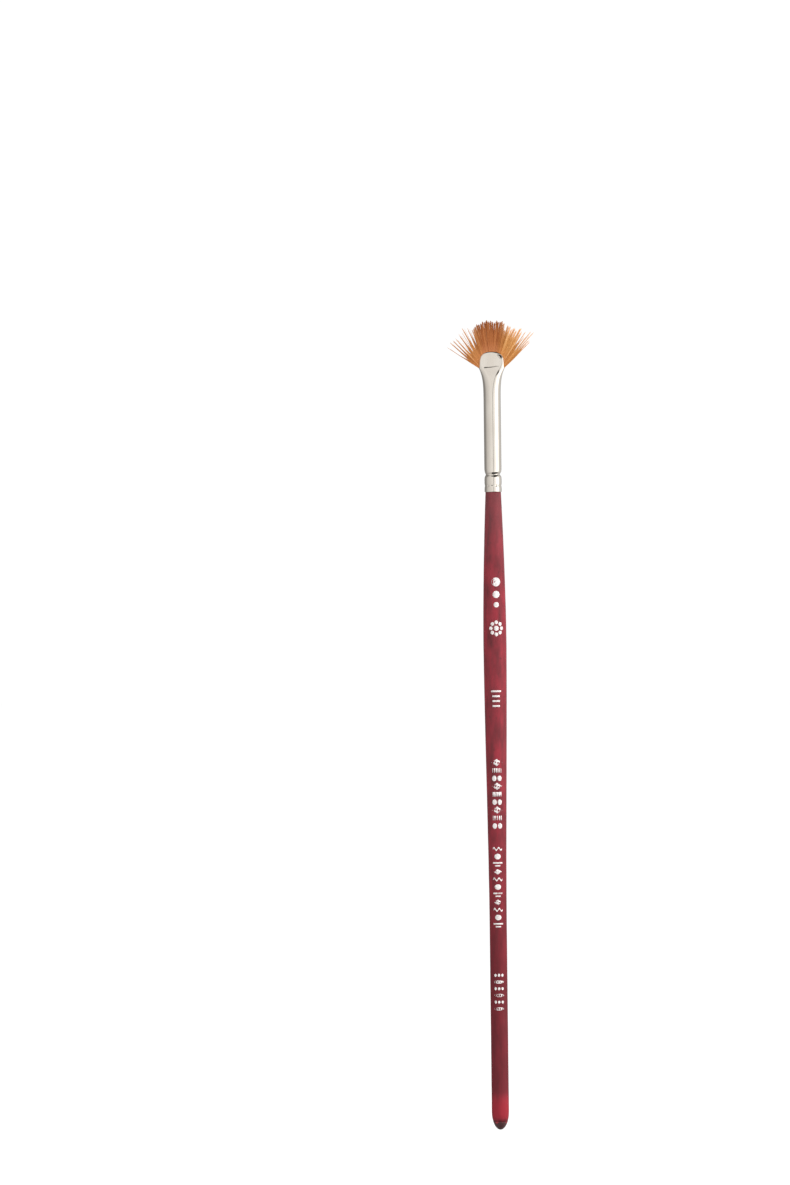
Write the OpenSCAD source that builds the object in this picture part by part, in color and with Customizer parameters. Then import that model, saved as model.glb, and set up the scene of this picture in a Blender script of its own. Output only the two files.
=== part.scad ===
// Small fan brush for blending, standing on its tail. +Z runs from the tail of the
// handle up to the hair, X is the width of the fan and Y is its thickness. Sizes are in
// millimetres. Heights are counted from the tip of the tail, and every sub-part is then
// set down so that the origin is on the axis where the straight shank begins.

/* [Handle] */
// Height of the handle up to the mouth of the ferrule
handle_h = 142.5; // [136:0.5:150]
// Diameter of the straight shank at the tail
shank_d = 3.85; // [3.6:0.05:4]
// Height of the rounded tail below the shank
tail_h = 4; // [3:0.5:6]
// Length of the straight shank
shank_h = 44; // [36:1:50]
// Largest diameter of the handle, at its belly
belly_d = 5.17; // [4.6:0.01:6]
// Height of the belly
belly_z = 108.5; // [102:0.5:114]
// Diameter of the neck where it enters the ferrule
neck_d = 3.46; // [3.3:0.02:3.46]
// Thickness of the soft coating on the wood
coat_t = 0.12; // [0.08:0.01:0.16]
// Height of the dark dip at the tail
dip_h = 1.8; // [1.2:0.1:2.4]
// Length of the wooden tenon inside the ferrule
tenon_h = 14; // [10:0.5:14]

/* [Ferrule] */
// Length of the ferrule, from its mouth to the top of its arched lip
ferrule_h = 31.3; // [30.5:0.1:34]
// Outer diameter of the round tube
ferrule_d = 3.82; // [3.82:0.02:4]
// Thickness of the sheet metal
sheet_t = 0.15; // [0.12:0.01:0.15]
// Width of the pressed head at its shoulders
head_w = 5.75; // [5.2:0.05:5.8]
// Thickness of the pressed head, front to back
head_t = 1.04; // [1:0.02:1.2]
// Height of the arched lip above the shoulders
arch_h = 3.65; // [3:0.05:4]
// Squareness of the arch: 2 is an ellipse, and more is squarer
arch_power = 2.7; // [2:0.1:3.2]
// Length over which the round tube flattens into the head
flare_h = 9.2; // [8:0.1:10]
// Height of the deep crimp above the mouth
deep_crimp_z = 4; // [3.6:0.1:5]
// Depth of the deep crimp
deep_crimp_t = 0.26; // [0.1:0.01:0.3]
// Height of the shallow crimp above the mouth
light_crimp_z = 1.4; // [1.2:0.1:1.6]
// Depth of the shallow crimp
light_crimp_t = 0.13; // [0.05:0.01:0.15]

/* [Hair] */
// Number of locks of hair across the fan
lock_count = 11; // [7:1:12]
// Angle of the fan's left edge from upright
fan_left = 56; // [40:1:56]
// Angle of the fan's right edge from upright
fan_right = 46; // [40:1:56]
// Distance from the fan's focus to the tips of the hair
tuft_r = 12.4; // [11:0.1:14]
// Extra length of the hair towards the right edge
right_extra = 1.1; // [0:0.1:1.5]
// Thickness of a lock where it leaves the lip
lock_t = 0.52; // [0.4:0.02:0.56]

/* [Hidden] */
EXACT_FN = 96;  // true circles
HULL_FN = 24;   // circles inside a hull
RING_SIDES = 40;  // sides of the ferrule's rings, a multiple of 4
HEAD_RINGS = 8;  // rings between the flare and the arched lip
FIT = 0.02;     // gap between fixed pieces
TIP_T = 0.2;    // thickness of a lock at its tip
DEEP_HALF = 1.1;    // half the length of the deep crimp, along the tube
LIGHT_HALF = 0.65;  // half the length of the shallow crimp
CRIMPED_H = 6;  // the tube is plain again this far above the mouth
GLUE_T = 0.1;   // room for the glue around the tenon

lock_names = [for (i = [1:lock_count]) str("lock_", i < 10 ? "0" : "", i)];

/* Heights, from the tip of the tail */
shank_top = tail_h + shank_h;
mouth_z = handle_h;
tenon_top = mouth_z + tenon_h;
lip_z = mouth_z + ferrule_h;
shoulder_z = lip_z - arch_h;
head_base_z = shoulder_z - 0.8;  // last level ring under the arched head
flare_z = shoulder_z - flare_h;
focus_z = shoulder_z - 1.8;      // where the directions of all the locks meet
resin_z = tenon_top + 0.4;       // lower end of the resin plug
butt_z = tenon_top + 2.4;        // lower end of the hair, sunk in the resin
resin_top = tenon_top + 4;
binding_z = tenon_top + 4.2;     // middle of the lowest turn of thread

/* Radii and half sizes */
tube_r = ferrule_d / 2;
bore_r = tube_r - sheet_t;
tenon_r = bore_r - GLUE_T;
tenon_chamfer = 0.4;
thread_r = 0.11;    // radius of the binding thread
bundle_r = bore_r - 0.3;  // tied tuft, with room for the thread around it
root_gap = sheet_t + 0.06;  // from the outside of the tube to the hair in the flattened head
head_half = head_w / 2;
flare_power = 4.7;  // how late the tube flares to the head's width
swell_line = 0.4;   // share of straight taper in the swell from shank to belly
neck_power = 1.7;   // how late the belly narrows to the neck
coat_inside = 0.5;  // how far the coating goes into the ferrule's mouth

/* The wave of the crimps: how far the tube is pressed in at height z */
function dent(z, centre, depth, half) =
    abs(z - centre) < half ? depth * (1 + cos(180 * (z - centre) / half)) / 2 : 0;
function crimp(z) =
    dent(z, mouth_z + deep_crimp_z, deep_crimp_t, DEEP_HALF)
    + dent(z, mouth_z + light_crimp_z, light_crimp_t, LIGHT_HALF);

/* The handle's outline: [radius, height], inset by the thickness t */
function tail_points(t) =
    [for (a = [0:10:90]) [(shank_d / 2 - t) * sin(a), tail_h - (tail_h - t) * cos(a)]];
function swell_points(t) =
    [for (f = [0:1 / 24:1])
        [shank_d / 2 - t + (belly_d - shank_d) / 2
            * (swell_line * f + (1 - swell_line) * (1 - cos(180 * f)) / 2),
         shank_top + f * (belly_z - shank_top)]];
function neck_points(t) =
    [for (f = [1 / 16:1 / 16:1])
        [belly_d / 2 - t - (belly_d - neck_d) / 2 * pow(f, neck_power),
         belly_z + f * (mouth_z - belly_z)]];
function handle_outline(t) = concat(tail_points(t), swell_points(t), neck_points(t));

/* Heights at which the crimped stretch of a sleeve is sampled, from z0 to z1 */
crimp_step = 0.18;
crimp_start = mouth_z + light_crimp_z - LIGHT_HALF;
crimp_end = mouth_z + deep_crimp_z + DEEP_HALF;
function crimp_heights(z0, z1, apart = 0.05) =
    let (zs = [for (z = [crimp_start:crimp_step:crimp_end]) z])
    concat([z0], [for (z = zs) if (z > z0 + apart && z < z1 - apart) z], [z1]);

/* Fan: each lock's angle from upright, to the right */
lock_step = (fan_left + fan_right) / lock_count;
function lock_angle(i) = (i - 0.5) * lock_step - fan_left;
function lock_reach(i) = tuft_r + right_extra * pow(max(0, lock_angle(i)) / fan_right, 2);

/* Distance from the focus to the arched lip at angle a, found by halving */
function past_lip(a, d) =
    pow(d * abs(sin(a)) / head_half, arch_power)
    + pow(max(0, focus_z + d * cos(a) - shoulder_z) / arch_h, arch_power) > 1;
function lip_at(a, low = 0, high = 9, turns = 18) =
    turns == 0 ? low : let (mid = (low + high) / 2)
    past_lip(a, mid) ? lip_at(a, low, mid, turns - 1) : lip_at(a, mid, high, turns - 1);

/* Ferrule: half width and half thickness of the flattened tube, inset by t. The tube's
   section is flat in front and behind, and round at both edges. */
function swell(z) = pow(max(0, min(z, shoulder_z) - flare_z) / flare_h, flare_power);
function half_w(z, t) = tube_r - t + (head_w / 2 - tube_r) * swell(z);
function half_t(z, t) = tube_r - t + (head_t / 2 - tube_r) * swell(z);
function face_y(x, z, t) =
    let (past = max(0, abs(x) - (half_w(z, t) - half_t(z, t))))
    sqrt(max(0, pow(half_t(z, t), 2) - past * past));

/* Shape of the arch over the circle angle a: sideways and upwards, each 0 to 1 */
function arch_x(a) = sign(cos(a)) * pow(abs(cos(a)), 2 / arch_power);
function arch_z(a) = pow(abs(sin(a)), 2 / arch_power);

/* A point at circle angle a of the ring at height z, and of the head's ring at share v
   of the way from the flare's last ring to the lip, both inset by t */
function tube_point(a, z, t) =
    let (r = half_w(z, t) - crimp(z), x = r * cos(a))
    [x, z > flare_z ? sign(sin(a)) * face_y(x, z, t) : r * sin(a), z];
function head_point(a, z0, v, t) =
    let (x = (1 - v) * half_w(z0, t) * cos(a) + v * (head_half - t) * arch_x(a),
         z = (1 - v) * z0 + v * (shoulder_z + arch_h * arch_z(a)))
    [x, abs(cos(a)) > 0.9999 ? 0 : sign(sin(a)) * face_y(x, z, t), z];

ring_angles = [for (k = [0:RING_SIDES - 1]) 360 * k / RING_SIDES];
flare_steps = 9;     // rings up the flare, closer together towards the head
flare_crowding = 1.6;
flare_heights = [for (k = [0:flare_steps])
    flare_z + (head_base_z - flare_z) * (1 - pow(1 - k / flare_steps, flare_crowding))];
function tube_rings(heights, t) = [for (z = heights) [for (a = ring_angles) tube_point(a, z, t)]];
function head_rings(t) =
    [for (k = [1:HEAD_RINGS]) [for (a = ring_angles) head_point(a, head_base_z, k / HEAD_RINGS, t)]];
function band(k0, k1) =
    [for (j = [0:RING_SIDES - 1]) let (n = (j + 1) % RING_SIDES)
        each [[k0 * RING_SIDES + j, k1 * RING_SIDES + j, k1 * RING_SIDES + n],
              [k0 * RING_SIDES + j, k1 * RING_SIDES + n, k0 * RING_SIDES + n]]];
function flat(rings) = [for (ring = rings) each ring];

/* Everything is drawn from the tail's tip, then set down on the origin */
module placed() translate([0, 0, -tail_h]) children();
module turned(outline) rotate_extrude($fn = EXACT_FN) polygon(outline);
module sleeve(heights, inner, outer)
    turned(concat([for (z = heights) [outer - crimp(z), z]],
                  [for (k = [len(heights) - 1:-1:0]) [inner - crimp(heights[k]), heights[k]]]));

module handle_core() color("burlywood") placed() {
    outline = handle_outline(coat_t + FIT);
    tenon = crimp_heights(mouth_z + GLUE_T, tenon_top - tenon_chamfer);
    turned(concat(outline, [for (z = tenon) [tenon_r - FIT - crimp(z), z]],
                  [[tenon_r - tenon_chamfer, tenon_top], [0, tenon_top]]));
}

module handle_coat() color("firebrick") placed()
    intersection() {
        difference() {
            turned(concat(handle_outline(0), [[neck_d / 2, mouth_z + coat_inside],
                                              [0, mouth_z + coat_inside]]));
            turned(concat(handle_outline(coat_t), [[neck_d / 2 - coat_t + FIT, mouth_z + 1],
                                                   [0, mouth_z + 1]]));
        }
        translate([0, 0, dip_h + FIT]) cylinder(h = mouth_z, d = 2 * belly_d, $fn = EXACT_FN);
    }

module tip_dip() color("dimgray") placed()
    intersection() {
        difference() {
            turned(concat(tail_points(0), [[0, tail_h]]));
            turned(concat(tail_points(coat_t), [[0, tail_h]]));
        }
        cylinder(h = dip_h, d = 2 * belly_d, $fn = EXACT_FN);
    }

module tenon_glue() color("khaki") placed()
    sleeve(crimp_heights(mouth_z + coat_inside + GLUE_T, tenon_top - 0.6), tenon_r, bore_r - FIT);

module ferrule() color("silver") placed() {
    tube = concat(crimp_heights(mouth_z, mouth_z + CRIMPED_H), flare_heights);
    outer = concat(tube_rings(tube, 0), head_rings(0));
    inner = concat(tube_rings(tube, sheet_t), head_rings(sheet_t));
    last = len(outer) - 1;
    rings = concat(outer, [for (k = [last:-1:0]) inner[k]]);
    polyhedron(flat(rings), [for (k = [0:len(rings) - 1]) each band(k, (k + 1) % len(rings))],
               convexity = 6);
}

module root_resin() color("goldenrod") placed() {
    plug_r = bore_r - 0.03;
    difference() {
        translate([0, 0, resin_z]) cylinder(h = resin_top - resin_z, r = plug_r, $fn = EXACT_FN);
        translate([0, 0, butt_z]) cylinder(h = resin_top - resin_z, r = bundle_r + FIT, $fn = EXACT_FN);
    }
}

module root_binding() color("ivory") placed() {
    for (turn = [0:3])
        translate([0, 0, binding_z + turn * (2 * thread_r + FIT)])
            rotate_extrude($fn = EXACT_FN) translate([bundle_r + thread_r + FIT, 0])
                circle(r = thread_r, $fn = HULL_FN);
}

module hair_root() color("peru") placed() {
    round_top = flare_z + 1.2;  // the tuft is a plain round bundle up to here
    stem = [for (z = [butt_z, round_top]) [for (a = ring_angles)
               [bundle_r * cos(a), bundle_r * sin(a), z]]];
    first_flat = 3;             // the flare's rings below this one lie along the round bundle
    flattening = [for (k = [first_flat:flare_steps]) flare_heights[k]];
    rings = concat(stem, tube_rings(flattening, root_gap), head_rings(root_gap));
    last = len(rings) - 1;
    half = RING_SIDES / 2;
    start = last * RING_SIDES;
    lip_strip = [for (k = [0:half - 1]) let (n = k + 1, back = (RING_SIDES - k) % RING_SIDES)
                    each [if (k > 0) [start + n, start + k, start + back],
                          if (n < half) [start + n, start + back, start + RING_SIDES - n]]];
    butt = [[for (k = [0:RING_SIDES - 1]) k]];
    polyhedron(flat(rings), concat(butt, [for (k = [0:last - 1]) each band(k, k + 1)], lip_strip),
               convexity = 6);
}

/* One lock: a round root that turns just outside the lip, and a flat tapering blade */
hinge_out = 0.42;  // from the lip to the hinge
lock_gap = 0.14;   // between the roots of two neighbours
blade_flare = 2;   // angle by which each side of a blade opens
module lock_rod(length, width, d)
    translate([0, 0, length]) rotate([0, 90, 0])
        cylinder(h = width, d = d, center = true, $fn = HULL_FN);
module hair_lock(i) color("peru") placed() {
    hinge_at = lip_at(lock_angle(i)) + hinge_out;
    blade = lock_reach(i) - hinge_at - TIP_T / 2;
    root_w = 2 * hinge_at * tan(lock_step / 2) - lock_gap;
    translate([0, 0, focus_z]) rotate([0, lock_angle(i), 0]) translate([0, 0, hinge_at]) {
        rotate([0, 90, 0]) cylinder(h = root_w, d = lock_t, center = true, $fn = EXACT_FN);
        hull() {
            lock_rod(0, root_w - 2 * FIT, lock_t - 0.1);
            lock_rod(blade, root_w + 2 * blade * tan(blade_flare), TIP_T);
        }
    }
}

handle_core();
handle_coat();
tip_dip();
tenon_glue();
ferrule();
root_resin();
root_binding();
hair_root();
for (i = [1:lock_count]) hair_lock(i);
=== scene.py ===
import math
import random

import bmesh
import bpy
from mathutils import Matrix, Vector, noise


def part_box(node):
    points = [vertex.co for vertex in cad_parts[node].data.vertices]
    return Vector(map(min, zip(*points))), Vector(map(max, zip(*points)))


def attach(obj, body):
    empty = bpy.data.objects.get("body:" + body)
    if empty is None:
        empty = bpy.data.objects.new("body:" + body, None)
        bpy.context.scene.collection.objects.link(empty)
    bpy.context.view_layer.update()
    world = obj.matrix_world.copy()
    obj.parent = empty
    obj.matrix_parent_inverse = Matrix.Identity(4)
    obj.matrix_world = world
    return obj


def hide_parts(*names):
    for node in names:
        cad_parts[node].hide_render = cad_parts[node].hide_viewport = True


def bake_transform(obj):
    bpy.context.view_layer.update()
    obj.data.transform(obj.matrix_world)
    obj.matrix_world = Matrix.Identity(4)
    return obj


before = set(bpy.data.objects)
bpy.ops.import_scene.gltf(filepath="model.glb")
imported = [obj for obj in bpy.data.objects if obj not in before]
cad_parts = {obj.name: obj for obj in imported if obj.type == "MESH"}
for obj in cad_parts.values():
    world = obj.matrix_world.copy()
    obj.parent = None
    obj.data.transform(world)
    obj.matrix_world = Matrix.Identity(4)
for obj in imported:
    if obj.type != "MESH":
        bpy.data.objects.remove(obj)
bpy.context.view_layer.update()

# ---------------------------------------------------------------- sizes, in millimetres
# Heights are counted up from the tip of the tail; at() turns them into the frame's metres.

MM = 0.001
TAIL_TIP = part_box("tip_dip")[0].z
DIP_TOP = (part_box("tip_dip")[1].z - TAIL_TIP) / MM
MOUTH = (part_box("ferrule")[0].z - TAIL_TIP) / MM
LIP_TOP = (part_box("ferrule")[1].z - TAIL_TIP) / MM
HEAD_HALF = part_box("ferrule")[1].x / MM
BELLY_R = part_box("handle_coat")[1].x / MM

TAIL_H = 4.0            # rounded tail
SHANK_TOP = 48.0        # end of the straight shank
BELLY_Z = 108.5         # thickest point of the handle
SHANK_R = 1.925
NECK_R = 1.73
COAT_T = 0.12
COAT_INSIDE = 0.5       # how far the coating goes into the ferrule

TUBE_R = 1.91
SHEET_T = 0.15
HEAD_T = 0.52           # half the thickness of the pressed head
ARCH_H = 3.65           # arched lip above the shoulders
ARCH_POWER = 2.7
FLARE_H = 9.2
FLARE_POWER = 4.7
EASE = 0.9              # how softly the pressed faces meet the flat head
SHOULDER = LIP_TOP - ARCH_H
FLARE = SHOULDER - FLARE_H
HEAD_BASE = SHOULDER - 0.8
CREASE_HALF = 1.85      # half the length of the crease pressed across the head
CREASE_UP = 0.24        # how far its middle lies above the shoulders
CREASE_TILT = 0.17
CREASE_SAG = 0.06
DENT = (1.98, -0.5, SHOULDER + 2.62)    # the dented corner of the lip, where a dark reflection is painted
FOCUS = SHOULDER - 1.8  # where the directions of all the hair meet
DEEP_CRIMP = MOUTH + 4.0
BITE_LINE = DEEP_CRIMP - 0.08           # the narrow groove at the bottom of the deep crimp
LIGHT_CRIMP = MOUTH + 1.4


def at(x, y, height):
    """A point in the frame, in metres, from millimetres and a height above the tail's tip."""
    return Vector((x * MM, y * MM, TAIL_TIP + height * MM))


def smooth(low, high, value):
    t = min(1.0, max(0.0, (value - low) / (high - low)))
    return t * t * (3 - 2 * t)


def mix(a, b, share):
    return a + (b - a) * share


# ---------------------------------------------------------------- camera

LENS = 200.0
SENSOR = 36.0
VIEW_HEIGHT = 264.8     # what the frame's long side covers at the brush
CAMERA_SIDE = -22.2     # the camera stands left of the brush's axis
CAMERA_UP = 120.3       # and this far above the tail's tip
LEAN = math.radians(0.67)              # how far the camera is turned about its line of sight


def make_camera():
    data = bpy.data.cameras.new("camera")
    data.lens = LENS
    data.sensor_width = SENSOR
    data.clip_end = 50.0
    camera = bpy.data.objects.new("camera", data)
    bpy.context.scene.collection.objects.link(camera)
    right = Vector((math.cos(LEAN), 0, -math.sin(LEAN)))
    up = Vector((math.sin(LEAN), 0, math.cos(LEAN)))
    back = right.cross(up)
    turn = Matrix((right, up, back)).transposed().to_4x4()
    place = at(CAMERA_SIDE, -VIEW_HEIGHT * LENS / SENSOR, CAMERA_UP)
    camera.matrix_world = Matrix.Translation(place) @ turn
    bpy.context.scene.camera = camera


# ---------------------------------------------------------------- materials

class Nodes:
    """A short way to write a node tree."""

    def __init__(self, tree):
        self.tree = tree
        self.tree.nodes.clear()

    def add(self, kind, inputs=None, **settings):
        node = self.tree.nodes.new(kind)
        for name, value in settings.items():
            setattr(node, name, value)
        for name, value in (inputs or {}).items():
            if isinstance(value, bpy.types.NodeSocket):
                self.tree.links.new(value, node.inputs[name])
            else:
                node.inputs[name].default_value = value
        return node

    def math(self, operation, a, b=0.0):
        return self.add("ShaderNodeMath", {0: a, 1: b}, operation=operation).outputs[0]

    def ramp(self, factor, stops):
        """A colour for each value of factor, from stops of (place, colour)."""
        node = self.add("ShaderNodeValToRGB", {"Fac": factor})
        elements = node.color_ramp.elements
        while len(elements) > len(stops):
            elements.remove(elements[-1])
        while len(elements) < len(stops):
            elements.new(1.0)
        for element, (place, colour) in zip(elements, stops):
            element.position = place
            element.color = (*colour, 1.0)
        return node.outputs["Color"]

    def blend(self, factor, a, b, mode="MIX"):
        node = self.add("ShaderNodeMix", data_type="RGBA", blend_type=mode)
        for socket, value in ((node.inputs[0], factor), (node.inputs[6], a), (node.inputs[7], b)):
            if isinstance(value, bpy.types.NodeSocket):
                self.tree.links.new(value, socket)
            elif socket.type == "RGBA" and len(value) == 3:
                socket.default_value = (*value, 1.0)
            else:
                socket.default_value = value
        return node.outputs[2]

    def noise(self, vector, scale, detail=3.0, roughness=0.5):
        return self.add("ShaderNodeTexNoise", {"Vector": vector, "Scale": scale, "Detail": detail,
                                               "Roughness": roughness}).outputs["Fac"]

    def span(self, value, low, high, to_low=0.0, to_high=1.0):
        """to_low up to low, to_high from high on, and a soft step between."""
        return self.add("ShaderNodeMapRange", {"Value": value, "From Min": low, "From Max": high,
                                               "To Min": to_low, "To Max": to_high},
                        interpolation_type="SMOOTHSTEP").outputs["Result"]

    def between(self, value, band):
        """1 inside the band and 0 outside it. The band is where it starts, is full, is still full
        and stops."""
        start, full, still, stop = band
        return self.math("MULTIPLY", self.span(value, start, full), self.span(value, stop, still))

    def bump(self, height, distance, strength=1.0):
        return self.add("ShaderNodeBump", {"Height": height, "Distance": distance,
                                           "Strength": strength}).outputs["Normal"]


def new_material(name):
    material = bpy.data.materials.new(name)
    material.use_nodes = True
    return material, Nodes(material.node_tree)


def millimetres(n, stretch=(1.0, 1.0, 1.0)):
    """Object coordinates in millimetres, squeezed by stretch, so that noise can run along the brush."""
    where = n.add("ShaderNodeTexCoord").outputs["Object"]
    scale = tuple(s / MM for s in stretch)
    return n.add("ShaderNodeMapping", {"Vector": where, "Scale": scale}).outputs[0]


def height_above_tip(n):
    where = n.add("ShaderNodeTexCoord").outputs["Object"]
    z = n.add("ShaderNodeSeparateXYZ", {"Vector": where}).outputs["Z"]
    return n.math("MULTIPLY", n.math("SUBTRACT", z, TAIL_TIP), 1 / MM)


def surface(n, **inputs):
    shader = n.add("ShaderNodeBsdfPrincipled", {k.replace("_", " "): v for k, v in inputs.items()})
    n.add("ShaderNodeOutputMaterial", {"Surface": shader.outputs[0]})


LOWER_SHADE_ZONE = (6.4, 9.0, 34.0, 62.0)     # heights between which the coating is darker, with painted shade
RUBBED_BAND = (1.8, 3.2, 5.2, 8.8)      # and brighter, where it is rubbed just above the dip
GREYER_NECK = (122.0, 141.0)             # it turns duller towards the ferrule
GLOSS_RISE = (45.0, 80.0)               # and a little glossier above the shank
DIP_EDGE = (DIP_TOP - 0.45, DIP_TOP + 0.40)
DIP_COLOUR = (0.060, 0.022, 0.024)
STREAK_COLOUR = (0.095, 0.022, 0.027)
SPECK_COLOUR = (0.050, 0.016, 0.018)
# painted shade for the lower handle, where less light falls
LOWER_SHADE_COLOUR = (0.085, 0.0125, 0.0165)
RUBBED_COLOUR = (0.275, 0.017, 0.029)
GREYER_NECK_COLOUR = (0.120, 0.043, 0.046)
CRIMSON = (0.36, 0.028, 0.045)
BLOTCHES = [(0.30, (0.105, 0.017, 0.022)), (0.48, (0.175, 0.020, 0.029)),
            (0.62, (0.230, 0.021, 0.033)), (0.78, (0.270, 0.025, 0.041))]


def specks(n):
    return n.noise(millimetres(n, (1.1, 1.1, 0.9)), 1.0, 2.0, 0.5)


def above_dip(n, speck):
    """0 on the dip and 1 above it. The edge is uneven, and the coating and the dip share it."""
    height = n.math("ADD", height_above_tip(n), n.span(speck, 0.2, 0.8, -0.5, 0.5))
    return n.span(height, *DIP_EDGE)


def soft_touch():
    """The crimson velvety coating: blotchy, a little worn, with a pale sheen at grazing angles."""
    material, n = new_material("soft_touch")
    height = height_above_tip(n)
    cloudy = n.noise(millimetres(n, (0.55, 0.55, 0.16)), 1.0, 4.0, 0.6)
    streaky = n.noise(millimetres(n, (1.3, 1.3, 0.10)), 1.0, 3.0, 0.5)
    speck = specks(n)
    base = n.ramp(cloudy, BLOTCHES)
    base = n.blend(n.span(streaky, 0.52, 0.72, 0.0, 0.55), base, STREAK_COLOUR)
    base = n.blend(n.span(speck, 0.66, 0.74, 0.0, 0.5), base, SPECK_COLOUR)
    # painted shade: the lower handle is darkened, where less light falls
    base = n.blend(n.math("MULTIPLY", n.between(height, LOWER_SHADE_ZONE), 0.60), base, LOWER_SHADE_COLOUR)
    base = n.blend(n.math("MULTIPLY", n.between(height, RUBBED_BAND), 0.7), base, RUBBED_COLOUR)
    base = n.blend(n.span(height, *GREYER_NECK, 0.0, 0.45), base, GREYER_NECK_COLOUR)
    base = n.blend(above_dip(n, speck), DIP_COLOUR, base)
    grain = n.noise(millimetres(n), 9.0, 2.0, 0.6)
    surface(n, Base_Color=base, Roughness=n.span(cloudy, 0.2, 0.8, 0.62, 0.48),
            Specular_IOR_Level=n.span(height, *GLOSS_RISE, 0.17, 0.29),
            Sheen_Weight=n.span(height, *GLOSS_RISE, 0.10, 0.20), Sheen_Roughness=0.3,
            Sheen_Tint=(0.78, 0.66, 0.72, 1.0), Normal=n.bump(grain, 0.01 * MM, 0.6))
    return material


def dipped_end():
    """Dark dipped lacquer, with a little of the crimson showing through its upper edge."""
    material, n = new_material("dipped_end")
    speck = specks(n)
    base = n.blend(above_dip(n, speck), DIP_COLOUR, CRIMSON)
    grain = n.noise(millimetres(n), 9.0, 2.0, 0.6)
    surface(n, Base_Color=base, Roughness=n.span(speck, 0.2, 0.8, 0.5, 0.36),
            Specular_IOR_Level=0.35, Sheen_Weight=0.16, Sheen_Roughness=0.4,
            Sheen_Tint=(0.8, 0.72, 0.74, 1.0), Normal=n.bump(grain, 0.008 * MM, 0.6))
    return material


CREASE_SHADE_REACH = (0.15, 0.045)            # reach of the crease's painted shade, at its left end and at its right
LIP_SHADE_FADE = (2.0, 1.3)  # the lip's painted shade fades in between these distances from the middle
RIM_OFF = 0.26          # the groove's two rims of painted shade lie this far from its bottom


def painted_shade_lines(n):
    """Where shade is painted: in the crease, thick at its left end, along the top of the lip, and in two
    thin lines at the rims of the deep crimp's groove."""
    parts = n.add("ShaderNodeSeparateXYZ", {"Vector": n.add("ShaderNodeTexCoord").outputs["Object"]})
    x = n.math("MULTIPLY", parts.outputs["X"], 1 / MM)
    up = n.math("SUBTRACT", height_above_tip(n), SHOULDER)
    across = n.math("DIVIDE", x, CREASE_HALF)
    bend = n.math("ADD", n.math("MULTIPLY", across, CREASE_TILT),
                  n.math("MULTIPLY", n.math("MULTIPLY", across, across), CREASE_SAG))
    off = n.math("ABSOLUTE", n.math("SUBTRACT", n.math("SUBTRACT", up, CREASE_UP), bend))
    thick = n.span(across, -0.9, 0.3, *CREASE_SHADE_REACH)
    # painted shade in the crease
    crease = n.math("MULTIPLY", n.span(n.math("DIVIDE", off, thick), 1.0, 0.5),
                    n.span(n.math("ABSOLUTE", across), 0.96, 0.86))
    out = n.math("ABSOLUTE", n.math("DIVIDE", x, HEAD_HALF))
    risen = n.math("MAXIMUM", n.math("DIVIDE", up, ARCH_H), 0.0)
    level = n.math("ADD", n.math("POWER", out, ARCH_POWER), n.math("POWER", risen, ARCH_POWER))
    # painted shade along the top of the lip
    lip = n.math("MULTIPLY", n.span(level, 0.87, 0.95), n.span(n.math("ABSOLUTE", x), *LIP_SHADE_FADE))
    groove = n.math("ABSOLUTE", n.math("SUBTRACT", height_above_tip(n), BITE_LINE))
    # painted shade at the two rims of the deep crimp's groove
    rims = n.span(n.math("ABSOLUTE", n.math("SUBTRACT", groove, RIM_OFF)), 0.10, 0.02, 0.0, 0.4)
    return n.math("MAXIMUM", n.math("MAXIMUM", crease, rims), n.math("MULTIPLY", lip, 0.8))


DARK_REFLECTION_TURN = math.radians(-40)        # the painted dark reflection runs slantwise, along the lip's corner
DARK_REFLECTION_SQUEEZE = (0.85, 0.6, 1.9)      # small where it reaches far: along it, through it, across it
# painted dark reflection, laid into the dented corner of the lip
DARK_REFLECTION_COLOUR = (0.050, 0.030, 0.020)
# painted shade in the crease, at the deep crimp's rims and along the lip
PAINTED_SHADE_COLOUR = (0.060, 0.042, 0.030)


def painted_dark_reflection(n):
    """The ragged painted dark reflection in the dented corner of the lip."""
    where = n.add("ShaderNodeTexCoord").outputs["Object"]
    offset = n.add("ShaderNodeVectorMath", {0: where, 1: at(*DENT)}, operation="SUBTRACT").outputs[0]
    slant = (0.0, DARK_REFLECTION_TURN, 0.0)
    turned = n.add("ShaderNodeMapping", {"Vector": offset, "Rotation": slant}).outputs[0]
    scale = tuple(s / MM for s in DARK_REFLECTION_SQUEEZE)
    squeezed = n.add("ShaderNodeMapping", {"Vector": turned, "Scale": scale}).outputs[0]
    reach = n.add("ShaderNodeVectorMath", {0: squeezed}, operation="LENGTH").outputs["Value"]
    ragged = n.math("ADD", reach, n.span(n.noise(squeezed, 3.0), 0.3, 0.7, -0.14, 0.14))
    return n.span(ragged, 0.58, 0.36)


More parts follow.
